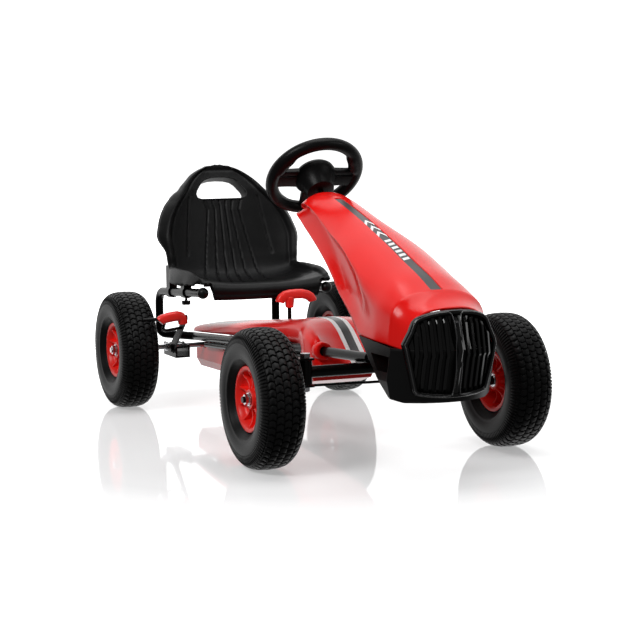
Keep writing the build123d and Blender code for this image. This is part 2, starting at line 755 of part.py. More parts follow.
def gear_lever():
    """Gear lever bar with the sleeve that turns on its cross shaft."""
    x, y, z = GEAR_PIVOT
    sleeve = ring((x, y, z), (1, 0, 0), 9, 5 + RUNNING, 14)
    return sleeve + rod((x, y, z + 8), (x, y, 246), 4.5)


def gear_grip():
    """Red arched handle on the gear lever."""
    x, y, _ = GEAR_PIVOT
    arch = bent_rod([(x - 24, y, 244), (x - 8, y, 255), (x + 30, y, 256), (x + 53, y, 246)], 10.5, 16)
    stem = rod((x, y, 228), (x, y, 254), 7.5)
    return (arch + stem) - rod((x, y, 200), (x, y, 246), 4.5)


def gear_shaft():
    """Cross shaft between the side tubes that carries the gear lever."""
    _, y, z = GEAR_PIVOT
    shaft = rod((-72.4, y, z), (72.4, y, z), 5)
    x = GEAR_PIVOT[0]
    return shaft + ring((x - 9.5, y, z), (1, 0, 0), 8, 4.9, 4) + ring((x + 9.5, y, z), (1, 0, 0), 8, 4.9, 4)


def cover_with_slot():
    """Upper cover with the slot the gear lever moves in."""
    x, y, _ = GEAR_PIVOT
    return chain_cover_upper() - box(x - 7, x + 7, y - 28, y + 8, 185, 225)


def wheel_set(tag, x, y, side, bore):
    """Tyre, inner tube, rim and bearings of one wheel."""
    centre = (x, y, AXLE_Z)
    save("tyre_" + tag, tyre(centre))
    save("inner_tube_" + tag, inner_tube(centre))
    save("rim_" + tag, rim(centre, side, 8.0))
    save("bearings_" + tag, bearing_pair(centre, bore))


def main():
    os.makedirs("parts", exist_ok=True)
    wheel_set("front_right", -FRONT_X, FRONT_Y, -1, AXLE_R + RUNNING)
    wheel_set("front_left", FRONT_X, FRONT_Y, 1, AXLE_R + RUNNING)
    wheel_set("rear_right", -REAR_X, REAR_Y, -1, AXLE_R)
    wheel_set("rear_left", REAR_X, REAR_Y, 1, AXLE_R + RUNNING)
    save("rear_fasteners", rear_fasteners())

    for name, shape in (("knuckle", knuckle()), ("knuckle_fasteners", knuckle_fasteners())):
        save(name + "_right", shape)
        save(name + "_left", mirrored(shape))
    save("side_tubes", pair(side_tube()))
    save("seat_rails", pair(seat_rail()))
    save("brace_tubes", pair(brace_tube()))
    save("nose_brackets", nose_brackets())
    save("rail_caps", rail_caps())
    save("bearing_brackets", bearing_brackets())
    save("frame_bushes", frame_bushes())
    save("front_beam", front_beam())
    save("gear_shaft", gear_shaft())

    save("chain_cover_upper", cover_with_slot())
    save("chain_cover_lower", chain_cover_lower())
    save("hood", hood())
    save("nose_shell", nose_shell())
    save("grille_frame", grille_frame())
    save("grille_insert", grille_insert())

    save("crank_sprocket", sprocket((0, CRANK_Y, CRANK_Z), CRANK_TEETH, 4))
    save("rear_sprocket", sprocket((0, REAR_Y, AXLE_Z), REAR_TEETH, 4))
    save("chain", chain())
    save("crank", crank())
    save("pedal_right", pedal(-1))
    save("pedal_left", pedal(1))
    save("pedal_caps", pedal_caps())
    save("rear_axle", rear_axle())

    save("steering_wheel", steering_wheel())
    save("hub_cap", hub_cap())
    save("steering_shaft", steering_shaft())
    save("pitman_arm", pitman_arm())
    save("column_tube", column_tube())
    save("column_bushes", column_bushes())
    save("tie_rod_right", tie_rod(-1, 5.5))
    save("tie_rod_left", tie_rod(1, -9.5))

    save("seat_shell", seat_shell())
    save("seat_clamps", seat_clamps())
    save("clamp_knobs", clamp_knobs())
    save("brake_lever", brake_lever())
    save("brake_grip", brake_grip())
    save("brake_pivot", brake_pivot())
    save("gear_lever", gear_lever())
    save("gear_grip", gear_grip())


main()
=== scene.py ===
import bpy
import math
import numpy as np
from mathutils import Matrix, Vector


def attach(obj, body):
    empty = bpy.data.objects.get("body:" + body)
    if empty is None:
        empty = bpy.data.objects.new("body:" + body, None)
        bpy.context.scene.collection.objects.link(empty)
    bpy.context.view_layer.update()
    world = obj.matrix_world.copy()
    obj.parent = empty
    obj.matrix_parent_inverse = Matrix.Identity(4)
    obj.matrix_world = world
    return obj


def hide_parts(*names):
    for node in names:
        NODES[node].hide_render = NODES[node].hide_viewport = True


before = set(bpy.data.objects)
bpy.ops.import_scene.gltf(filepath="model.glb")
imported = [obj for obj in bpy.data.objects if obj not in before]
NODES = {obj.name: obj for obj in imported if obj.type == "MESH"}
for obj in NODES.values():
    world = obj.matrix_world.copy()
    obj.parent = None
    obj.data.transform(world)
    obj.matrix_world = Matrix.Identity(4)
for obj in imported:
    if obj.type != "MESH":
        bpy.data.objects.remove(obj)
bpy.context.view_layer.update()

# Sizes are millimetres in the part's own frame; a mesh is scaled to metres when it is made.
FRONT_Y, REAR_Y, AXLE_Z = -312.0, 477.0, 130.0
FRONT_X, REAR_X = 252.0, 263.5
COLUMN_C, COLUMN_S = math.cos(math.radians(44.2)), math.sin(math.radians(44.2))
HUB = Vector((0, 14.5, 522.0))


# ------------------------------------------------------------ meshes

class Build:
    """Collects points and faces of one mesh, with a material index per face."""

    def __init__(self):
        self.verts = []
        self.faces = []
        self.mats = []

    def add(self, verts, faces, mat=0):
        start = len(self.verts)
        self.verts += [tuple(v) for v in verts]
        self.faces += [tuple(i + start for i in f) for f in faces]
        self.mats += [mat] * len(faces)

    def grid(self, rows, mat=0, close_u=False, close_v=False, flip=False, mat_of=None):
        """Surface through rows of points."""
        n, m = len(rows), len(rows[0])
        faces = []
        start = len(self.mats)
        for i in range(n if close_u else n - 1):
            for j in range(m if close_v else m - 1):
                a, b = i * m + j, i * m + (j + 1) % m
                c, d = ((i + 1) % n) * m + (j + 1) % m, ((i + 1) % n) * m + j
                faces.append((a, d, c, b) if flip else (a, b, c, d))
        self.add([p for row in rows for p in row], faces, mat)
        if mat_of:
            k = start
            for i in range(n if close_u else n - 1):
                for j in range(m if close_v else m - 1):
                    self.mats[k] = mat_of(i, j)
                    k += 1

    def lathe(self, profile, centre, segments=96, mat=0, close=False, axis="X"):
        """Revolves (along, radius) points about an axis through centre."""
        rows = []
        for along, r in profile:
            row = []
            for k in range(segments):
                a = 2 * math.pi * k / segments
                p = (along, r * math.cos(a), r * math.sin(a))
                row.append(p if axis == "X" else (p[1], p[2], p[0]))
            rows.append([tuple(Vector(p) + Vector(centre)) for p in row])
        self.grid(rows, mat, close_u=close, close_v=True)

    def sweep(self, path, section, mat=0, up=(0, 0, 1), caps=True, closed=False):
        """Sweeps section(t) = list of (side, up) offsets along a path of points."""
        rows = []
        n = len(path)
        path = [Vector(p) for p in path]
        for i, p in enumerate(path):
            before = path[(i - 1) % n] if closed else path[max(i - 1, 0)]
            after = path[(i + 1) % n] if closed else path[min(i + 1, n - 1)]
            along = (after - before).normalized()
            side = along.cross(Vector(up)).normalized()
            top = side.cross(along)
            t = i / (n - 1)
            rows.append([tuple(p + side * x + top * y) for x, y in section(t)])
        self.grid(rows, mat, close_u=closed, close_v=True, flip=True)
        if caps and not closed:
            m = len(rows[0])
            base = len(self.verts) - len(rows) * m
            self.faces.append(tuple(base + k for k in range(m)))
            self.faces.append(tuple(base + (n - 1) * m + k for k in reversed(range(m))))
            self.mats += [mat, mat]


def circle(r, n=20, squash=1.0):
    return lambda t: [(r * math.cos(2 * math.pi * k / n),
                       squash * r * math.sin(2 * math.pi * k / n)) for k in range(n)]


def made(name, build, materials, body, slot, stands_for=(), sharp=35, **fit):
    """Turns a Build into an object that rides on a CAD body and stands for CAD nodes."""
    mesh = bpy.data.meshes.new(name)
    mesh.from_pydata([tuple(c / 1000 for c in v) for v in build.verts], [], build.faces)
    for m in materials:
        mesh.materials.append(m)
    mesh.polygons.foreach_set("material_index", build.mats)
    mesh.update()
    mesh.shade_smooth()
    return placed(linked(name, mesh), body, slot, stands_for, sharp, **fit)


def linked(name, data):
    """New object in the scene's collection."""
    obj = bpy.data.objects.new(name, data)
    bpy.context.scene.collection.objects.link(obj)
    return obj


def round_edges(obj, width, segments, angle):
    """Bevels the edges that are sharper than angle degrees; width in millimetres."""
    edge = obj.modifiers.new("edges", "BEVEL")
    edge.width = width / 1000
    edge.segments = segments
    edge.limit_method = "ANGLE"
    edge.angle_limit = math.radians(angle)


def placed(obj, body, slot, stands_for=(), sharp=35, bevel=0.0, thick=0.0, move=None):
    """Gives an object its place, wall and rounded edges, and ties it to a CAD body."""
    if move is not None:
        obj.matrix_world = move
    if thick:
        solid = obj.modifiers.new("wall", "SOLIDIFY")
        solid.thickness = thick / 1000
        solid.offset = -1
    if bevel:
        round_edges(obj, bevel, 2, 38)
    obj.data.set_sharp_from_angle(angle=math.radians(sharp))
    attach(obj, body)
    if stands_for:
        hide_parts(*stands_for)
    return obj


def curve(stations, t):
    """Values at t from stations (t, values...), without overshoot between them."""
    ts = [row[0] for row in stations]
    t = min(max(t, ts[0]), ts[-1])
    i = max(k for k in range(len(ts) - 1) if ts[k] <= t)
    h = ts[i + 1] - ts[i]
    u = (t - ts[i]) / h
    out = []
    for c in range(1, len(stations[0])):
        v = [row[c] for row in stations]

        def slope(k):
            if k == 0:
                return (v[1] - v[0]) / (ts[1] - ts[0])
            if k == len(ts) - 1:
                return (v[-1] - v[-2]) / (ts[-1] - ts[-2])
            a = (v[k] - v[k - 1]) / (ts[k] - ts[k - 1])
            b = (v[k + 1] - v[k]) / (ts[k + 1] - ts[k])
            return 0.0 if a * b <= 0 else 2 * a * b / (a + b)

        m0, m1 = slope(i) * h, slope(i + 1) * h
        u2, u3 = u * u, u * u * u
        from_here = (2 * u3 - 3 * u2 + 1) * v[i] + (u3 - 2 * u2 + u) * m0
        out.append(from_here + (3 * u2 - 2 * u3) * v[i + 1] + (u3 - u2) * m1)
    return out


def smooth(x, a, b):
    """Rises smoothly from 0 at a to 1 at b."""
    x = min(max((x - a) / (b - a), 0.0), 1.0)
    return x * x * (3 - 2 * x)


# ------------------------------------------------------------ materials

def finish_of(name, colour, rough, metallic=0.0, coat=0.0, vary=0.08, grain=900.0, bump=0.02,
              wear=0.12, specular=0.5):
    """Procedural finish: slight colour and roughness variation with a fine grain."""
    mat = bpy.data.materials.new(name)
    mat.use_nodes = True
    nodes, links = mat.node_tree.nodes, mat.node_tree.links
    shader = nodes["Principled BSDF"]
    shader.inputs["Metallic"].default_value = metallic
    shader.inputs["Coat Weight"].default_value = coat
    shader.inputs["Coat Roughness"].default_value = 0.06
    shader.inputs["Specular IOR Level"].default_value = specular
    where = nodes.new("ShaderNodeTexCoord")
    cloud = nodes.new("ShaderNodeTexNoise")
    cloud.inputs["Scale"].default_value = 14.0
    cloud.inputs["Detail"].default_value = 5.0
    links.new(where.outputs["Object"], cloud.inputs["Vector"])
    ramp = nodes.new("ShaderNodeValToRGB")
    ramp.color_ramp.elements[0].position = 0.3
    ramp.color_ramp.elements[1].position = 0.72
    ramp.color_ramp.elements[0].color = [c * (1 - vary) for c in colour] + [1]
    ramp.color_ramp.elements[1].color = [min(c * (1 + vary), 1) for c in colour] + [1]
    links.new(cloud.outputs["Fac"], ramp.inputs["Fac"])
    links.new(ramp.outputs["Color"], shader.inputs["Base Color"])
    spread = nodes.new("ShaderNodeMapRange")
    spread.inputs["To Min"].default_value = rough * (1 - wear)
    spread.inputs["To Max"].default_value = min(rough * (1 + wear), 1)
    links.new(cloud.outputs["Fac"], spread.inputs["Value"])
    links.new(spread.outputs["Result"], shader.inputs["Roughness"])
    fine = nodes.new("ShaderNodeTexNoise")
    fine.inputs["Scale"].default_value = grain
    fine.inputs["Detail"].default_value = 3.0
    links.new(where.outputs["Object"], fine.inputs["Vector"])
    relief = nodes.new("ShaderNodeBump")
    relief.inputs["Strength"].default_value = bump
    relief.inputs["Distance"].default_value = 0.001
    links.new(fine.outputs["Fac"], relief.inputs["Height"])
    links.new(relief.outputs["Normal"], shader.inputs["Normal"])
    return mat


RED = finish_of("red_gloss", (0.86, 0.008, 0.006), 0.20, coat=0.0, vary=0.03, grain=160, bump=0.012,
                specular=0.24)
RED_RIM = finish_of("red_rim", (0.92, 0.020, 0.013), 0.34, vary=0.05, grain=300, bump=0.03,
                    specular=0.3)
RED_GRIP = finish_of("red_grip", (0.90, 0.022, 0.015), 0.38, coat=0.1, vary=0.04, grain=700,
                     bump=0.06)
GLOSS_BLACK = finish_of("gloss_black", (0.0018, 0.0018, 0.0018), 0.12, vary=0.1, grain=120,
                        bump=0.01, specular=0.34)
SATIN_BLACK = finish_of("satin_black", (0.003, 0.003, 0.003), 0.36, vary=0.1, grain=1100, bump=0.08,
                        specular=0.22)
SEAT_BLACK = finish_of("seat_black", (0.0042, 0.0042, 0.0044), 0.40, vary=0.12, grain=1500,
                       bump=0.22, specular=0.16)
WHEEL_BLACK = finish_of("wheel_black", (0.0032, 0.0032, 0.0033), 0.36, vary=0.1, grain=1300,
                        bump=0.12, specular=0.16)
PAINT_BLACK = finish_of("powder_black", (0.003, 0.003, 0.003), 0.24, vary=0.1, grain=700, bump=0.05,
                        specular=0.14)
TYRE = finish_of("tyre_rubber", (0.0046, 0.0046, 0.0048), 0.42, vary=0.2, grain=800, bump=0.2,
                 specular=0.13)
ZINC = finish_of("zinc", (0.62, 0.62, 0.64), 0.26, metallic=1.0, vary=0.08, grain=500, bump=0.05)
LIP_BLACK = finish_of("lip_black", (0.02, 0.02, 0.021), 0.22, coat=0.8, vary=0.1, grain=120,
                      bump=0.01)
DECAL_GREY = finish_of("decal_grey", (0.045, 0.045, 0.048), 0.30, vary=0.12, grain=900, bump=0.02)
DECAL_BLACK = finish_of("decal_black", (0.010, 0.010, 0.011), 0.30, vary=0.12, grain=900, bump=0.02)
DECAL_WHITE = finish_of("decal_white", (0.93, 0.93, 0.93), 0.32, vary=0.03, grain=900, bump=0.02)


# ------------------------------------------------------------ wheels

# Tread surface: distance from the crown along the section, along the axle, radius.
TREAD = [(0, 0, 130), (15, 15, 129.2), (24, 24, 127.6), (32, 31, 124.4), (40, 37, 119.0),
         (50, 41, 110), (62, 43, 98)]
TREAD_REACH = TREAD[-1][0]
BLOCKS_ROUND = 57
BLOCK_HEIGHT, LUG_HEIGHT = 4.5, 2.6


def tyre_profile(s):
    """(along the axle, radius) of the tread's outer surface at distance s from the crown."""
    x, r = curve(TREAD, min(abs(s), TREAD_REACH))
    return (math.copysign(x, s), r)


def tread_block(build, s0, half_w, angle, half_a, wave, height):
    """One moulded tread block: a wavy brick standing on the carcass."""
    steps = [-1, -0.5, 0, 0.5, 1]
    outline = [(half_w * t, -half_a + wave * math.cos(math.pi * t)) for t in steps]
    outline += [(half_w * t, half_a + wave * math.cos(math.pi * t)) for t in reversed(steps)]
    loops = []
    for grow, sink in ((1.12, height), (1.0, 0.5), (0.86, 0.0)):
        loop = []
        for s, a in outline:
            along, r = tyre_profile(s0 + s * grow)
            a_mid = wave * math.cos(math.pi * s / half_w)
            turn = angle + (a_mid + (a - a_mid) * grow)
            loop.append((along, (r - sink) * math.cos(turn), (r - sink) * math.sin(turn)))
        loops.append(loop)
    n = len(outline)
    start = len(build.verts)
    build.grid(loops, 0, close_v=True, flip=True)
    build.faces.append(tuple(start + 2 * n + k for k in reversed(range(n))))
    build.mats.append(0)


def tyre_mesh():
    """Carcass with three rows of blocks on each side of the middle, and shoulder lugs."""
    build = Build()
    side = [(24.2, 55), (24.4, 61.5), (28, 64), (33, 68), (37, 72.5), (38.6, 73.4), (39.8, 75.4),
            (39.6, 77.0), (41.2, 82), (42.6, 90), (42.8, 97), (41.6, 104), (38.8, 111.5), (34, 118),
            (28.5, 121.8), (20, 124.2), (10, 125.6)]
    build.lathe([*side, (0, 126), *[(-x, r) for x, r in reversed(side)]], (0, 0, 0), 192)
    pitch = 2 * math.pi / BLOCKS_ROUND
    wave = 0.11 * pitch
    for k in range(BLOCKS_ROUND):
        a = k * pitch
        tread_block(build, 0, 6.4, a, 0.385 * pitch, wave, BLOCK_HEIGHT)
        for s in (-1, 1):
            tread_block(build, s * 14.3, 6.4, a + pitch / 2, 0.385 * pitch, wave, BLOCK_HEIGHT)
            tread_block(build, s * 28.6, 6.3, a, 0.38 * pitch, wave, BLOCK_HEIGHT)
            for half_step in (0.25, 0.75):
                tread_block(build, s * 46.5, 9.4, a + pitch * half_step, 0.15 * pitch, 0,
                            LUG_HEIGHT)
    return build


RIBS = 10
RIB_HALF = 2.3


def rim_mesh():
    """Deep-dished rim and its ribs on both sides of the web, outer face towards +X."""
    build = Build()
    dish = [(26.4, 52.2), (28.4, 54.6), (29.2, 57.4), (28.4, 60.2), (26.2, 61.2), (24.6, 60.6),
            (24.4, 55), (12, 52.5), (0, 50.5), (-12, 52.5), (-24.4, 55), (-24.6, 60.4),
            (-27.5, 60.2), (-28.2, 57.4), (-26.4, 52.4), (-10, 50), (3.0, 48.4), (6.5, 44),
            (6.4, 24), (5, 19.4), (-22, 18.6), (-24, 16.5), (-24, 13.1), (-15.9, 13.1),
            (-15.9, 8.6), (15.9, 8.6), (15.9, 13.1), (24, 13.1), (24.6, 14.6), (24, 17.6),
            (21, 19.0), (12.6, 21.2), (11, 24.5), (10.9, 44), (13.5, 48.6), (18, 50.4)]
    build.lathe(dish, (0, 0, 0), 128, close=True)
    ribs = Build()
    outer = [(10.4, 19.5), (10.4, 50.8), (24.5, 51.6), (22.5, 46.5), (18.8, 40), (17.6, 30),
             (19.5, 18.4)]
    inner = [(6.9, 18.8), (-18, 18.2), (-11, 27), (-8, 36), (-9.5, 44), (-14, 50.4), (-10, 50.8),
             (3.4, 48.8), (6.9, 44.4)]
    for i in range(2 * RIBS):
        turn = Matrix.Rotation(2 * math.pi * (i // 2 + 0.5 * (i % 2)) / RIBS, 3, "X")
        outline = inner if i % 2 else outer
        verts = []
        for sign in (-1, 1):
            verts += [turn @ Vector((x, sign * (RIB_HALF if x < 11 else RIB_HALF * 0.7), r))
                      for x, r in outline]
        n = len(outline)
        faces = [tuple(range(n)), tuple(reversed(range(n, 2 * n)))]
        faces += [(k, k + n, (k + 1) % n + n, (k + 1) % n) for k in range(n)]
        ribs.add(verts, faces)
    return build, ribs


def bearing_mesh():
    """The two sealed bearings in a rim's hub."""
    build = Build()
    for s in (-1, 1):
        race = [(s * 15.9, 6.1), (s * 23.6, 6.1), (s * 23.9, 6.5), (s * 23.9, 8.6), (s * 23.2, 9.0),
                (s * 23.2, 11.0), (s * 23.9, 11.3), (s * 23.9, 12.7), (s * 23.5, 13),
                (s * 15.9, 13)]
        build.lathe(race, (0, 0, 0), 64, close=True)
    return build


def wheels():
    """Four wheels that share their meshes; the right-hand ones are turned round."""
    rim, ribs = rim_mesh()
    kinds = [("tyre", tyre_mesh(), TYRE, "tyre_rubber", 0.0),
             ("rim", rim, RED_RIM, "red_plastic", 0.0),
             ("rim_ribs", ribs, RED_RIM, "red_plastic", 0.5),
             ("bearings", bearing_mesh(), ZINC, "steel", 0.0)]
    shared = {}
    bodies = {"front_right": "front_wheel_right", "front_left": "front_wheel_left",
              "rear_right": "rear_axle", "rear_left": "rear_wheel_left"}
    for tag, body in bodies.items():
        side = -1 if tag.endswith("right") else 1
        x = side * (FRONT_X if tag.startswith("front") else REAR_X)
        y = FRONT_Y if tag.startswith("front") else REAR_Y
        turn = Matrix.Rotation(0 if side > 0 else math.pi, 4, "Z")
        place = Matrix.Translation((x / 1000, y / 1000, AXLE_Z / 1000)) @ turn
        for kind, build, mat, slot, bevel in kinds:
            name = kind + "_mesh_" + tag
            stands = () if kind == "rim_ribs" else (kind + "_" + tag,)
            if kind in shared:
                placed(linked(name, shared[kind]), body, slot, stands, 40, bevel=bevel, move=place)
            else:
                obj = made(name, build, [mat], body, slot, stands, 40, bevel=bevel, move=place)
                shared[kind] = obj.data


wheels()


# ------------------------------------------------------------ hood, nose and grille

# Hood sections: y, top height, crease half width and height, lower edge half width and height.
HOOD = [(-612, 307, 75, 282, 84, 236), (-560, 318.5, 84, 293.5, 92, 239),
        (-517, 334, 90, 306, 98, 242), (-467, 356, 95, 318, 102, 245),
        (-415, 375, 94, 338, 101.5, 248), (-361, 396, 88, 364, 94, 275),
        (-300, 418, 80, 391, 86, 306), (-251, 435, 73, 407, 80, 335.4),
        (-202, 451, 67, 420, 74.5, 364.9), (-117, 476, 58, 451, 66, 405.8),
        (-77, 486, 55, 464, 63, 424), (-48, 491, 53, 468.5, 60, 437),
        (-34, 489.5, 51, 467, 59, 443), (-27, 485, 49, 464, 58, 446), (-22, 478, 46, 459, 57, 449)]
STRIP_REAR, STRIP_FRONT = -100, -517
STRIP_SINK = 1.7
STRIP_BLACK_FROM = -235
HOOD_FRONT, HOOD_BLEND = -612, -520
NOSE_Y, CREASE_Z, UPPER_LEAN, LOWER_LEAN, FRONT_RADIUS = -607, 235, 0.30, 0.25, 125.8
BEHIND_GRILLE = 10.2


def grille_surface(x, z, depth):
    """Forward position of the grille's curved, creased front, set back by depth."""
    lean = UPPER_LEAN * (z - CREASE_Z) if z > CREASE_Z else LOWER_LEAN * (CREASE_Z - z)
    return NOSE_Y + depth + (FRONT_RADIUS - math.sqrt(FRONT_RADIUS ** 2 - x * x)) + lean


def strip_half(y):
    """Half width of the hood's dark strip."""
    return 8.4 + 2.6 * (STRIP_REAR - y) / (STRIP_REAR - STRIP_FRONT)


def hood_front_share(y):
    """0 along the hood's creased rear part, 1 at its rounded front."""
    return 1 - smooth(y, -480, -330)


def crown(y, x, front):
    """Height of the hood's top at x."""
    z_top, crease, z_crease, _, _ = curve(HOOD, y)
    return z_top - (z_top - z_crease) * (x / crease) ** (2.3 + 0.5 * front)


def hood_half_section(y):
    """Points (x, z) from the centre line to the lower edge."""
    _, crease, z_crease, edge, z_edge = curve(HOOD, y)
    w = strip_half(y)
    inside = STRIP_FRONT <= y <= STRIP_REAR
    front = hood_front_share(y)
    depth = 15 * (1 - front)
    facet = max(min((y + 290) / 225, 1.0), 0.0)
    crisp = smooth(y, -400, -270)
    soft = 0.54 - 0.18 * crisp
    side = math.hypot(edge - crease, z_edge - z_crease)
    corner = 2.2 + 16 * front

    def on_side(t):
        """Point of the hollowed side, t = 0 at the crease and 1 at the lower edge."""
        k = min(t / soft, 1.0)
        d = depth * (crisp * math.sin(math.pi / 2 * k) + (1 - crisp) * smooth(k, 0, 1))
        if facet > 0.05 and t > 1 - facet:
            d = min(d, depth * (1 - t) / facet)
        d *= 1 - smooth(t, 0.55 + 0.4 * crisp, 1.0)
        return (crease + (edge - crease) * t - d, z_crease + (z_edge - z_crease) * t)

    last = crease - corner
    out = []
    xs = [0, 0.5 * w, w, w + 0.9, w + 5] + [w + 5 + (last - w - 5) * k / 9 for k in range(1, 10)]
    for i, x in enumerate(xs):
        out.append((x, crown(y, x, front) - (STRIP_SINK if inside and i < 3 else 0.0)))
    first = corner / side
    (x0, z0), (x2, z2) = (last, crown(y, last, front)), on_side(first)
    for k in range(1, 8):
        t = k / 8
        a, b, c = (1 - t) ** 2, 2 * t * (1 - t), t * t
        out.append((a * x0 + b * crease + c * x2, a * z0 + b * z_crease + c * z2))
    shares = (0, 0.04, 0.09, 0.15, 0.22, 0.3, 0.39, 0.49, 0.6, 0.7, 0.79, 0.87, 0.94, 1.0)
    out += [on_side(first + (1 - first) * t) for t in shares]
    return out


def hood():
    """Red hood with its sunken dark strip, its front shaped to the grille."""
    ys = [-22, -23.5, -25.5, -28, -32, -37, -43, -50]
    ys += list(range(-60, -100, -8)) + [STRIP_REAR + 0.8, STRIP_REAR]
    ys += list(range(-108, STRIP_FRONT, -8)) + [STRIP_FRONT, STRIP_FRONT - 0.8]
    ys += list(range(-524, HOOD_FRONT, -8)) + [HOOD_FRONT]
    rows = []
    for y in ys:
        half = hood_half_section(y)
        row = []
        for x, z in [(-a, b) for a, b in reversed(half[1:])] + half:
            y_here = y
            if y < HOOD_BLEND:
                share = (y - HOOD_BLEND) / (HOOD_FRONT - HOOD_BLEND)
                y_here = HOOD_BLEND + share * (grille_surface(x, z, BEHIND_GRILLE) - HOOD_BLEND)
            row.append((x, y_here, z))
        rows.append(row)
    build = Build()
    middle = (len(rows[0]) - 1) / 2

    def mat_of(i, j):
        y = 0.5 * (ys[i] + ys[i + 1])
        if not (STRIP_FRONT < y < STRIP_REAR and abs(j + 0.5 - middle) < 2):
            return 0
        return 1 if y > STRIP_BLACK_FROM else 2

    build.grid(rows, 0, flip=True, mat_of=mat_of)
    made("hood_shell", build, [RED, DECAL_GREY, DECAL_BLACK], "frame", "red_plastic", ["hood"], 44,
         thick=2.8)
    marks()


def on_strip(x, y, lift=0.35):
    """Point just above the sunken strip."""
    return (x, y, crown(y, abs(x), hood_front_share(y)) - STRIP_SINK + lift)


def marks():
    """Plain chevrons and slanted bars printed on the hood's dark strip."""
    build = Build()

    def band(y0, length, slant, w0=-1.0, w1=1.0, peak=True):
        rows = []
        for along in (0, length):
            row = []
            for k in range(9):
                u = w0 + (w1 - w0) * k / 8
                bend = slant * (1 - abs(u)) if peak else slant * (0.5 + 0.5 * u)
                y = y0 - along + bend
                row.append(on_strip(u * (strip_half(y) - 0.4), y))
            rows.append(row)
        build.grid(rows, 0, flip=True)

    for k in range(3):
        band(-240 - 27 * k, 11, 16)
    for k in range(6):
        band(-322 - 15 * k, 8.5, 7, -0.78, 0.78, peak=False)
    made("hood_marks", build, [DECAL_WHITE], "frame", "red_plastic", sharp=60)


hood()


def grille_outline(inset):
    """Closed outline (x, z) of the arched, six-sided grille."""
    right = [(0, 304), (14, 303.8), (30, 302.4), (45, 299.6), (56, 296.4), (64, 292.8), (69.5, 289),
             (73, 284.6), (80, 268), (87.6, 253), (90, 248.4), (90.8, 244), (90, 238), (84.6, 213),
             (74, 170), (71.6, 162.6), (68.4, 158.6), (63.6, 156.2), (46, 153.6), (24, 152)]
    loop = right + [(0, 151.6)] + [(-x, z) for x, z in reversed(right[1:])]
    out = []
    n = len(loop)
    for i, (x, z) in enumerate(loop):
        (x0, z0), (x1, z1) = loop[i - 1], loop[(i + 1) % n]
        tx, tz = x1 - x0, z1 - z0
        length = math.hypot(tx, tz)
        out.append((x + tz / length * inset, z - tx / length * inset))
    return out


def on_grille(x, z, depth):
    """Point of the grille, set back by depth from its front surface."""
    return (x, grille_surface(x, z, depth), z)


# Slats: centre-line pitch and first place, half widths, and the set-back of the plate behind them.
SLAT_FIRST, SLAT_PITCH, SLATS = 19.5, 12.6, 5
SLAT_HALF, BAR_HALF = 3.2, 4.6
PLATE_DEPTH = 10.4


def grille():
    """Glossy surround, two raised lips and the slatted insert."""
    frame_ring = Build()
    rows = []
    for inset, depth in ((0, 8.6), (0, 2.0), (0.5, 0.6), (1.6, 0.0), (4.4, 0.4), (6.4, 1.6),
                         (7.4, 3.4), (7.8, 9.4)):
        rows.append([on_grille(x, z, depth) for x, z in grille_outline(inset)])
    frame_ring.grid(rows, 0, close_v=True, flip=True)
    made("grille_surround", frame_ring, [GLOSS_BLACK], "frame", "black_gloss", ["grille_frame"], 50)
    lips = Build()
    for s in (-1, 1):
        outline = [(x, z) for x, z in grille_outline(2.6) if s * x > 7]
        if s < 0:
            outline = list(reversed(outline))
        if outline[0][1] < outline[-1][1]:
            outline = list(reversed(outline))
        path = outline + [(s * 8, 157), (s * 5.6, 172), (s * 5.2, 200), (s * 5.2, 260),
                          (s * 6, 284), (s * 9, 297)]
        path = [on_grille(x, z, -0.3) for x, z in path]
        lips.sweep(path, circle(1.25, 10), 0, up=(0, -1, 0), closed=True)
    made("grille_lips", lips, [LIP_BLACK], "frame", "black_gloss", (), 60)
    inner = Build()
    rim = grille_outline(7.0)
    rows = []
    for scale in (1.0, 0.85, 0.7, 0.55, 0.4, 0.25, 0.1):
        rows.append([on_grille(x * scale, CREASE_Z + (z - CREASE_Z) * scale, PLATE_DEPTH)
                     for x, z in rim])
    inner.grid(rows, 0, close_v=True, flip=True)

    def height_at(x):
        """Lowest and highest point of the opening at x."""
        zs = []
        for (x0, z0), (x1, z1) in zip(rim, rim[1:] + rim[:1]):
            if (x0 - x) * (x1 - x) <= 0 and x0 != x1:
                zs.append(z0 + (z1 - z0) * (x - x0) / (x1 - x0))
        return min(zs), max(zs)

    for s in (-1, 0, 1):
        for k in range(SLATS if s else 1):
            x = s * (SLAT_FIRST + SLAT_PITCH * k)
            half = SLAT_HALF if s else BAR_HALF
            low, high = height_at(x)
            crease = 222
            depths = [(low + 0.5, 9.6), (low + 7, 5.6), (crease - 2, 5.4), (crease + 4, 3.0),
                      (high - 16, 3.2), (high - 13, 3.6), (high - 1, 9.6)]
            if not s:
                depths = [(low + 0.5, 2.4), (crease, 1.0), (CREASE_Z, 0.0), (high - 14, 0.6),
                          (high - 8, 4.6), (high - 1, 7.6)]
            rows = []
            for z, d in depths:
                section = ((-1, PLATE_DEPTH), (-1, d + 1.2), (-0.62, d), (0.62, d), (1, d + 1.2),
                           (1, PLATE_DEPTH))
                rows.append([on_grille(x + half * side, z, back) for side, back in section])
            inner.grid(rows, 0, flip=True)
    made("grille_slats", inner, [GLOSS_BLACK], "frame", "black_plastic", ["grille_insert"], 24)


grille()


# ------------------------------------------------------------ chain cover

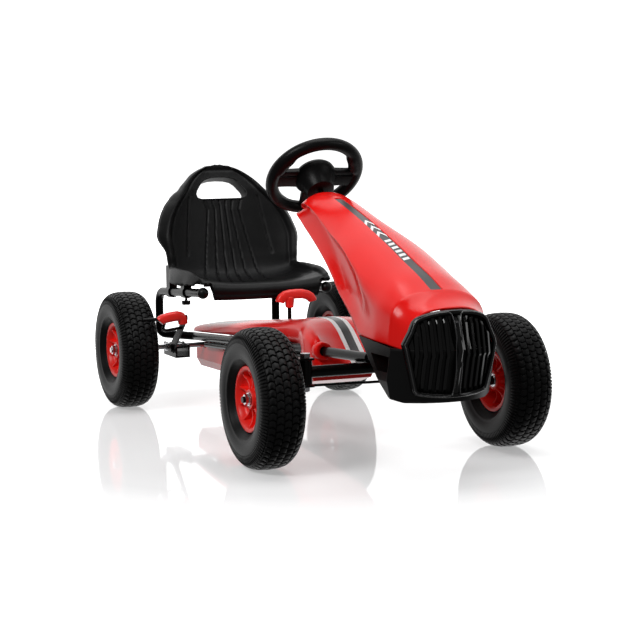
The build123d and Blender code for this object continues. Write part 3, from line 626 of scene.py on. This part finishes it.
# Cover sections: y, half width, lower and upper side height, ridge half width and height,
# and the height along the middle.
COVER = [(-197, 80, 156, 163, 68, 165, 164), (-190, 88, 156, 178, 73, 184, 170),
         (-180, 93, 156, 200, 76, 209, 180), (-150, 95, 156, 209, 71, 222, 205),
         (-120, 90, 158, 214, 65, 230, 227), (-90, 82, 191, 219, 60, 234, 238),
         (-60, 80, 194, 221, 57, 236, 240), (60, 80, 187, 210, 56, 223, 226),
         (250, 80, 174, 192, 54, 202, 205), (400, 80, 163, 175, 54, 186, 189),
         (545, 78, 153, 160, 52, 168, 171), (561, 64, 152, 158, 40, 162, 165)]
STRIPES_END = 220
TUBE_MOUTH = (77.5, -190, 191.5)


def cover():
    """Upper half of the chain case with its stripes and the collars round the frame tubes."""
    ys = [-197, -195, -192, -188, -184, -180]
    ys += list(range(-174, -60, 6)) + list(range(-60, 540, 20)) + [540, 548, 555, 561]
    rows = []
    for y in ys:
        half, z_low, z_side, x_ridge, z_ridge, z_mid = curve(COVER, y)
        section = [(0, z_mid)]
        for x in (9, 18, 30, 42):
            section.append((x, z_mid + (z_ridge - z_mid) * (x / x_ridge) ** 2.4))
        for t in (0.9, 1.0):
            section.append((x_ridge * t, z_mid + (z_ridge - z_mid) * t ** 2.4))
        for t, s in ((0.25, 0.04), (0.5, 0.16), (0.72, 0.36), (0.88, 0.62), (1.0, 1.0)):
            section.append((x_ridge + (half - x_ridge) * t, z_ridge + (z_side - z_ridge) * s))
        section += [(half + 0.6, z_side + (z_low - z_side) * 0.5), (half + 0.6, z_low)]
        rows.append([(x, y, z) for x, z in [(-a, b) for a, b in reversed(section[1:])] + section])
    build = Build()
    middle = (len(rows[0]) - 1) / 2

    def mat_of(i, j):
        lane = abs(j + 0.5 - middle)
        if ys[i] > STRIPES_END or lane > 2:
            return 0
        return 2 if lane < 1 else 1

    build.grid(rows, 0, flip=False, mat_of=mat_of)
    for s in (-1, 1):
        tube = Vector((s * TUBE_MOUTH[0], *TUBE_MOUTH[1:]))
        along = Vector((s * -0.1, -1, 0.05)).normalized()
        rows = []
        side = along.cross(Vector((0, 0, 1))).normalized()
        top = side.cross(along)
        turns = np.linspace(0, 2 * math.pi, 48, endpoint=False)
        for t, r in ((-9, 11.0), (-9, 15.5), (-6, 16.0), (5.5, 16.0), (7, 15.2), (7.4, 14.0),
                     (7, 11.2), (-4, 10.4)):
            centre = tube + along * t
            rows.append([tuple(centre + (side * math.cos(a) + top * math.sin(a)) * r)
                         for a in turns])
        build.grid(rows, 0, close_v=True)
    made("cover_shell", build, [RED, DECAL_WHITE, DECAL_BLACK], "frame", "red_plastic",
         ["chain_cover_upper"], 35, thick=2.4)


cover()


# ------------------------------------------------------------ seat

# Seat stations from the front lip over the pan to the top of the back: y, z, half width,
# and how far the sides come forward and rise.
SEAT = [(286, 250, 134, 0, 2), (280, 258, 141, 0, 4), (279, 268, 146, 0, 7), (284, 277, 149, 0, 10),
        (296, 282, 152, 0, 14), (320, 282, 156, 0, 19), (360, 276, 160, 0, 27),
        (400, 271, 162, 0, 33), (455, 271, 160, -4, 34), (492, 288, 153, -16, 24),
        (513, 330, 154, -32, 8), (526, 370, 157, -36, 4), (537, 405, 149, -34, 3),
        (548, 440, 131, -30, 2), (555, 460, 116, -26, 0), (562, 480, 99, -20, 0),
        (568, 494, 88, -15, 0), (575, 510, 71, -9, 0), (579.5, 521, 55, -6, 0),
        (582.6, 529, 38, -3, 0), (584.4, 533.4, 21, -1, 0), (585, 534.8, 6, 0, 0)]


def seat_stations():
    """Seat stations with the distance along the centre line in front."""
    out, s = [], 0.0
    for i, row in enumerate(SEAT):
        if i:
            s += math.hypot(row[0] - SEAT[i - 1][0], row[1] - SEAT[i - 1][1])
        out.append((s, *row))
    return out


SEAT_RUN = seat_stations()
SEAT_LENGTH = SEAT_RUN[-1][0]


def seat_point(s, u):
    """Point of the seat's surface at distance s, u = -1 to 1 across."""
    y, z, half, dy, dz = curve(SEAT_RUN, s)
    return Vector((half * u, y + dy * abs(u) ** 3, z + dz * abs(u) ** 3))


def run_at_height(z):
    """Distance along the seat's back at height z."""
    rows = [r for r in SEAT_RUN if r[0] > 160]
    return float(np.interp(z, [r[2] for r in rows], [r[0] for r in rows]))


def groove_lines():
    """Polylines (x, distance along) of one half of the seat's moulded grooves."""
    lines = []
    for top, kink, low, pan in ((8, 6, 11, 14), (25, 20, 34, 44), (45, 38, 62, 78)):
        lines.append([(top, run_at_height(455)), (kink, run_at_height(434)),
                      (low, run_at_height(300)), (pan, run_at_height(300) - 62)])
    lines.append([(84, run_at_height(462)), (104, run_at_height(330))])
    return lines


def distance_to(px, ps, line):
    """Distance from a point to a polyline."""
    best = 1e9
    for (x0, s0), (x1, s1) in zip(line, line[1:]):
        dx, ds = x1 - x0, s1 - s0
        t = min(max(((px - x0) * dx + (ps - s0) * ds) / (dx * dx + ds * ds), 0), 1)
        best = min(best, math.hypot(px - x0 - dx * t, ps - s0 - ds * t))
    return best


def over_rail(p):
    """Lifts the seat's front corners clear of the rails' ends, for the seat's travel."""
    share = smooth(abs(p.x), 122, 132) * (1 - smooth(p.y, 336, 366))
    return Vector((p.x, p.y, p.z + share * max(0.0, 285 - p.z)))


def seat_sink(x, s, half, u, lines):
    """Depth of the moulded grooves and rolled border below the plain seat surface."""
    sink = 0.0
    for k, line in enumerate(lines):
        d = distance_to(x, s, line)
        sink = max(sink, (3.4 if k < 3 else 2.6) * math.exp(-((d / 2.1) ** 2)))
    border = min(half * (1 - abs(u)), SEAT_LENGTH - s + 3, s + 3)
    pan = (1 - smooth(s, 190, 270)) * smooth(s, 50, 110)
    sink += 1.2 * (1 - smooth(abs(border - 15), 0, 5))
    return sink - (3.0 + 5.0 * pan) * (1 - smooth(border, 4, 15 + 12 * pan))


def seat_rows():
    """Rows of points across the seat, each with its turned-back rim at both ends."""
    n_s, n_u = 230, 121
    lines = groove_lines()
    us = [-1 + 2 * j / (n_u - 1) for j in range(n_u)]
    points = [[seat_point(SEAT_LENGTH * i / (n_s - 1), u) for u in us] for i in range(n_s)]
    rows = []
    for i in range(n_s):
        s = SEAT_LENGTH * i / (n_s - 1)
        half = curve(SEAT_RUN, s)[2]
        ahead, behind = points[min(i + 1, n_s - 1)], points[max(i - 1, 0)]
        row = []
        for j, u in enumerate(us):
            across = points[i][min(j + 1, n_u - 1)] - points[i][max(j - 1, 0)]
            normal = across.cross(ahead[j] - behind[j]).normalized()
            p = points[i][j]
            row.append(p - normal * seat_sink(abs(p.x), s, half, u, lines))
        deep = 15 + 22 * (1 - smooth(s, 170, 225))
        deep = deep + 19 * smooth(s, 295, 350) - 21 * smooth(s, 410, 520)
        rim = []
        for j, side in ((0, -1), (n_u - 1, 1)):
            out = Vector((side, 0, 0))
            across = points[i][1] - points[i][0] if j == 0 else points[i][-1] - points[i][-2]
            normal = across.cross(ahead[j] - behind[j]).normalized()
            fall = ((1.4, 1.6), (2.2, 5), (2.2, deep * 0.7), (0.2, deep))
            rim.append([row[j] + out * wide - normal * back for wide, back in fall])
        rows.append([over_rail(p) for p in list(reversed(rim[0])) + row + rim[1]])
    last = rows[-1]
    for rise, back in ((0.8, 1.6), (1.0, 5), (-2.0, 13), (-5.0, 19)):
        rows.append([p + Vector((0, 0.94 * back, rise - 0.3 * back)) for p in last])
    return rows


HOLE_RIGHT = [(50, 459), (60, 462), (63, 470), (60, 478), (46, 495), (36, 502), (20, 506)]
HOLE = HOLE_RIGHT + [(0, 507)] + [(-x, z) for x, z in reversed(HOLE_RIGHT)]


def cut_hand_hole(obj):
    """Cuts the hand hole through the seat's back and keeps the result as its mesh."""
    n = len(HOLE)
    block = Build()
    ends = [tuple(range(n)), tuple(reversed(range(n, 2 * n)))]
    block.add([(x, y, z) for y in (480, 660) for x, z in HOLE],
              ends + [(k, k + n, (k + 1) % n + n, (k + 1) % n) for k in range(n)])
    mesh = bpy.data.meshes.new("hole")
    mesh.from_pydata([tuple(c / 1000 for c in v) for v in block.verts], [], block.faces)
    cutter = linked("hole", mesh)
    cut = obj.modifiers.new("hand_hole", "BOOLEAN")
    cut.object = cutter
    cut.operation = "DIFFERENCE"
    cut.solver = "EXACT"
    bpy.context.view_layer.update()
    done = bpy.data.meshes.new_from_object(obj.evaluated_get(bpy.context.evaluated_depsgraph_get()))
    obj.modifiers.clear()
    obj.data = done
    bpy.data.objects.remove(cutter)


def hole_wall():
    """Wall that lines the hand hole."""
    sleeve = Build()
    middle_z = sum(z for _, z in HOLE) / len(HOLE)
    rows = []
    for back, grow in ((-1.6, 1.10), (-2.0, 1.06), (-1.0, 1.0), (3, 0.975), (30, 0.955),
                       (31, 0.99)):
        row = []
        for x, z in HOLE:
            z_here = middle_z + (z - middle_z) * grow
            y_front = 548 + (z_here - 440) * 0.378 - 18 * abs(x / 130) ** 3
            row.append((x * grow, y_front + 0.94 * back, z_here - 0.30 * back))
        rows.append(row)
    sleeve.grid(rows, 0, close_v=True)
    made("seat_hole_wall", sleeve, [SEAT_BLACK], "seat", "black_plastic", (), 40)


def seat():
    """Moulded bucket seat with its hand hole."""
    build = Build()
    build.grid(seat_rows(), 0)
    obj = made("seat_moulding", build, [SEAT_BLACK], "seat", "black_plastic", ["seat_shell"], 50,
               thick=4.2)
    cut_hand_hole(obj)
    hole_wall()


seat()


# ------------------------------------------------------------ steering wheel

def column_place():
    """Matrix from the wheel's own frame (x, down, along the column) to the row."""
    m = Matrix(((1, 0, 0), (0, COLUMN_S, COLUMN_C), (0, -COLUMN_C, COLUMN_S))).to_4x4()
    return Matrix.Translation(HUB / 1000) @ m


def rounded(w, h, r, n=5):
    """Outline of a rectangle with half sizes w and h and corner radius r."""
    pts = []
    for cx, cy, start in ((w - r, h - r, 0), (r - w, h - r, 90), (r - w, r - h, 180),
                          (w - r, r - h, 270)):
        for k in range(n):
            a = math.radians(start + 90 * k / (n - 1))
            pts.append((cx + r * math.cos(a), cy + r * math.sin(a)))
    return pts


def steering_wheel():
    """Wheel with a gripped rim, a stepped hub, two split spokes and one broad one."""
    ring = Build()
    rows = []
    n = 144
    for i in range(n):
        a = 2 * math.pi * i / n
        up_side = -math.degrees(math.atan2(math.sin(a), abs(math.cos(a))))
        bulge = smooth(up_side, 6, 14) * (1 - smooth(up_side, 34, 48))
        row = []
        for k in range(28):
            phi = 2 * math.pi * k / 28
            r = 13.0
            inner = max(-math.cos(phi), 0)
            r += 5.0 * bulge * inner ** 0.7
            reach = 90 + r * math.cos(phi)
            row.append((reach * math.cos(a), reach * math.sin(a), r * math.sin(phi) * 0.96))
        rows.append(row)
    ring.grid(rows, 0, close_u=True, close_v=True)
    place = column_place()
    made("wheel_rim_grip", ring, [WHEEL_BLACK], "steering", "black_plastic", ["steering_wheel"], 60,
         move=place)
    hub = Build()
    profile = [(-45, 6.4), (-45, 25), (-43.5, 28), (-36, 30.5), (-27, 33), (-20, 36), (-13, 40),
               (-8, 42.6), (-3.4, 43.8), (-2.4, 44), (-2.0, 42), (-0.2, 41.8), (0.2, 43.2),
               (4, 42.6), (8, 39.6), (10.6, 34), (11.4, 25), (11.4, 6.4)]
    hub.lathe([(c, r) for c, r in profile], (0, 0, 0), 96, close=True, axis="Z")
    made("wheel_hub", hub, [WHEEL_BLACK], "steering", "black_plastic", ["hub_cap"], 32, move=place)
    spokes = Build()
    for s in (-1, 1):
        for (b0, b1, half_w, half_h, c0) in ((-12.5, -10.5, 7.0, 6.4, -0.5),
                                             (9.0, 8.0, 15.5, 5.0, -4.0),
                                             (-1.5, -1.0, 4.5, 3.4, 0.5)):
            path = [(s * (30 + (84 - 30) * t), b0 + (b1 - b0) * t, c0)
                    for t in np.linspace(0, 1, 9)]
            spokes.sweep(path, lambda t, w=half_w, h=half_h:
                         rounded(w * (1 - 0.10 * math.sin(math.pi * t)), h, 3.0), 0)
    path = [(0, 28 + 56 * t, -3.5) for t in np.linspace(0, 1, 9)]
    spokes.sweep(path, lambda t: rounded(19.5 - 7.5 * t, 5.6, 3.0), 0)
    made("wheel_spokes", spokes, [WHEEL_BLACK], "steering", "black_plastic", (), 40, move=place)
    cap = Build()
    cap.lathe([(10.3, 0.05), (10.3, 23.5), (12.4, 24), (14.6, 22.4), (16.0, 17), (16.6, 8),
               (16.7, 0.05)], (0, 0, 0), 64, axis="Z")
    made("wheel_hub_cap", cap, [SATIN_BLACK], "steering", "black_plastic", (), 40, move=place)


steering_wheel()


# ------------------------------------------------------------ grips, and the CAD pieces that stay

def grip_section(t, wide, high):
    """Section of a grip that narrows to rounded ends."""
    end = math.sin(math.pi * min(max(t, 0.05), 0.93)) ** 0.4
    return rounded(wide * (0.79 + 0.21 * end), high * (0.76 + 0.24 * end), 6.5)


def grips():
    """The two red lever grips."""
    build = Build()
    path = [(21, 260, 240), (22, 260, 244), (26, 260, 250), (34, 260, 255), (44, 260, 257),
            (60, 260, 257.5), (74, 260, 257), (86, 260, 254), (94, 260, 249), (98, 260, 244),
            (99, 260, 240)]
    build.sweep(path, lambda t: grip_section(t, 10.5, 9.0), 0, up=(0, 1, 0))
    build.sweep([(44, 260, 228), (44, 260, 233), (44, 260, 243), (44, 260, 252)],
                lambda t: rounded(8.2 + 2.5 * t, 8.2 + 1.2 * t, 7), 0, up=(0, 1, 0))
    made("gear_handle", build, [RED_GRIP], "gear_lever", "red_plastic", ["gear_grip"], 45,
         bevel=1.5)
    build = Build()
    path = [(-226, 350, 203), (-224, 350, 205), (-216, 350, 208.5), (-204, 350, 211),
            (-194, 350, 212.5), (-184, 350, 213), (-178, 350, 211.5), (-174, 350, 207),
            (-172.5, 350, 200), (-172, 350, 195)]
    build.sweep(path, lambda t: grip_section(t, 10.8, 10.2), 0, up=(0, 1, 0))
    made("brake_handle", build, [RED_GRIP], "brake_lever", "red_plastic", ["brake_grip"], 45,
         bevel=1.5)


grips()


def dress():
    """Finishes and rounded edges for the CAD nodes that stay visible."""
    groups = {
        PAINT_BLACK: ["side_tubes", "seat_rails", "brace_tubes", "bearing_brackets", "front_beam",
                      "column_tube", "knuckle_right", "knuckle_left", "crank", "brake_lever",
                      "gear_lever", "gear_shaft", "brake_pivot", "seat_clamps", "nose_brackets",
                      "tie_rod_right", "tie_rod_left", "pitman_arm", "steering_shaft"],
        ZINC: ["knuckle_fasteners_right", "knuckle_fasteners_left", "rear_fasteners", "rear_axle",
               "chain", "crank_sprocket", "rear_sprocket"],
        SATIN_BLACK: ["rail_caps", "frame_bushes", "column_bushes", "pedal_right", "pedal_left",
                      "pedal_caps", "clamp_knobs", "nose_shell"],
        RED: ["chain_cover_lower"],
        TYRE: ["inner_tube_front_right", "inner_tube_front_left", "inner_tube_rear_right",
               "inner_tube_rear_left"]}
    rounding = {"nose_shell": 2.2, "pedal_right": 1.2, "pedal_left": 1.2, "chain_cover_lower": 2.5,
                "rail_caps": 1.0, "bearing_brackets": 0.6, "knuckle_right": 0.5,
                "knuckle_left": 0.5, "seat_clamps": 0.6}
    for mat, names in groups.items():
        for name in names:
            obj = NODES[name]
            obj.data.materials.clear()
            obj.data.materials.append(mat)
            if name in rounding:
                round_edges(obj, rounding[name], 3, 30)


dress()


# ------------------------------------------------------------ studio

def glow(mat, near, far, reach):
    """Adds white light of its own to a stage surface, growing with distance from the kart."""
    nodes, links = mat.node_tree.nodes, mat.node_tree.links
    where = nodes.new("ShaderNodeTexCoord")
    away = nodes.new("ShaderNodeVectorMath")
    away.operation = "LENGTH"
    links.new(where.outputs["Object"], away.inputs[0])
    spread = nodes.new("ShaderNodeMapRange")
    spread.inputs["From Min"].default_value = reach[0]
    spread.inputs["From Max"].default_value = reach[1]
    spread.inputs["To Min"].default_value = near
    spread.inputs["To Max"].default_value = far
    links.new(away.outputs["Value"], spread.inputs["Value"])
    shader = nodes["Principled BSDF"]
    shader.inputs["Emission Color"].default_value = (1, 1, 1, 1)
    links.new(spread.outputs["Result"], shader.inputs["Emission Strength"])


def stage_plane(name, size, where, turn, mat):
    """Square plane of the stage."""
    bpy.ops.mesh.primitive_plane_add(size=size, location=where, rotation=turn)
    plane = bpy.context.object
    plane.name = name
    plane.data.materials.append(mat)
    return plane


def backdrop():
    """White floor that mirrors the kart faintly, a white wall behind it and a white surround."""
    floor = finish_of("floor_white", (0.86, 0.86, 0.865), 0.045, vary=0.004, grain=30, bump=0.0,
                      wear=0.1, specular=0.5)
    glow(floor, 0.34, 1.3, (0.62, 1.45))
    plane = stage_plane("floor", 40, (0, 0, 0), (0, 0, 0), floor)
    plane.visible_diffuse = False
    plane.visible_glossy = False
    wall = finish_of("wall_white", (0.9, 0.9, 0.9), 0.9, vary=0.004, grain=30, bump=0.0)
    glow(wall, 1.04, 1.04, (1, 2))
    plane = stage_plane("wall", 60, (3.5, 12, 0), (math.radians(90), 0, math.radians(-23)), wall)
    plane.visible_diffuse = False
    bpy.ops.mesh.primitive_cylinder_add(vertices=96, radius=19, depth=60, end_fill_type="NOTHING")
    surround = bpy.context.object
    surround.name = "surround"
    surround.data.materials.append(wall)
    surround.visible_diffuse = False
    surround.visible_glossy = False
    surround.visible_shadow = False


def area(name, where, target, size, power, size_y=None):
    """Area lamp that looks at target."""
    data = bpy.data.lights.new(name, "AREA")
    data.energy = power
    data.shape = "RECTANGLE"
    data.size = size
    data.size_y = size_y or size
    light = linked(name, data)
    light.location = where
    light.rotation_euler = (Vector(target) - Vector(where)).to_track_quat("-Z", "Y").to_euler()


def studio():
    """Dim white surroundings and three soft lamps."""
    world = bpy.data.worlds.new("studio")
    bpy.context.scene.world = world
    world.use_nodes = True
    world.node_tree.nodes["Background"].inputs["Color"].default_value = (1, 1, 1, 1)
    world.node_tree.nodes["Background"].inputs["Strength"].default_value = 0.17
    area("key", (-2.4, -1.2, 2.4), (0, -0.1, 0.3), 1.3, 50, 1.0)
    area("fill", (2.4, -2.6, 1.6), (0, 0, 0.3), 1.0, 12, 1.0)
    area("top", (0.3, -0.3, 2.6), (0, 0, 0), 1.5, 34, 2.2)
    view = bpy.context.scene.view_settings
    view.view_transform = "Standard"
    view.look = "None"


CAMERA_AT = (-1.3625, -3.1102, 0.6111)
CAMERA_TURN, CAMERA_RISE, CAMERA_ROLL = -0.4091347, 0.1076459, -0.0109934
CAMERA_LENS = 96.41


def camera():
    """Camera from the kart's front right corner; turn, rise and roll are in radians."""
    az, el, roll = CAMERA_TURN, CAMERA_RISE, CAMERA_ROLL
    back = Vector((math.sin(az) * math.cos(el), -math.cos(az) * math.cos(el), math.sin(el)))
    right = (-back).cross(Vector((0, 0, 1))).normalized()
    up = back.cross(right)
    rolled_right = right * math.cos(roll) + up * math.sin(roll)
    rolled_up = up * math.cos(roll) - right * math.sin(roll)
    data = bpy.data.cameras.new("camera")
    data.sensor_width = 36
    data.lens = CAMERA_LENS
    cam = linked("camera", data)
    m = Matrix((rolled_right, rolled_up, back)).transposed().to_4x4()
    m.translation = Vector(CAMERA_AT)
    cam.matrix_world = m
    bpy.context.scene.camera = cam


backdrop()
studio()
camera()
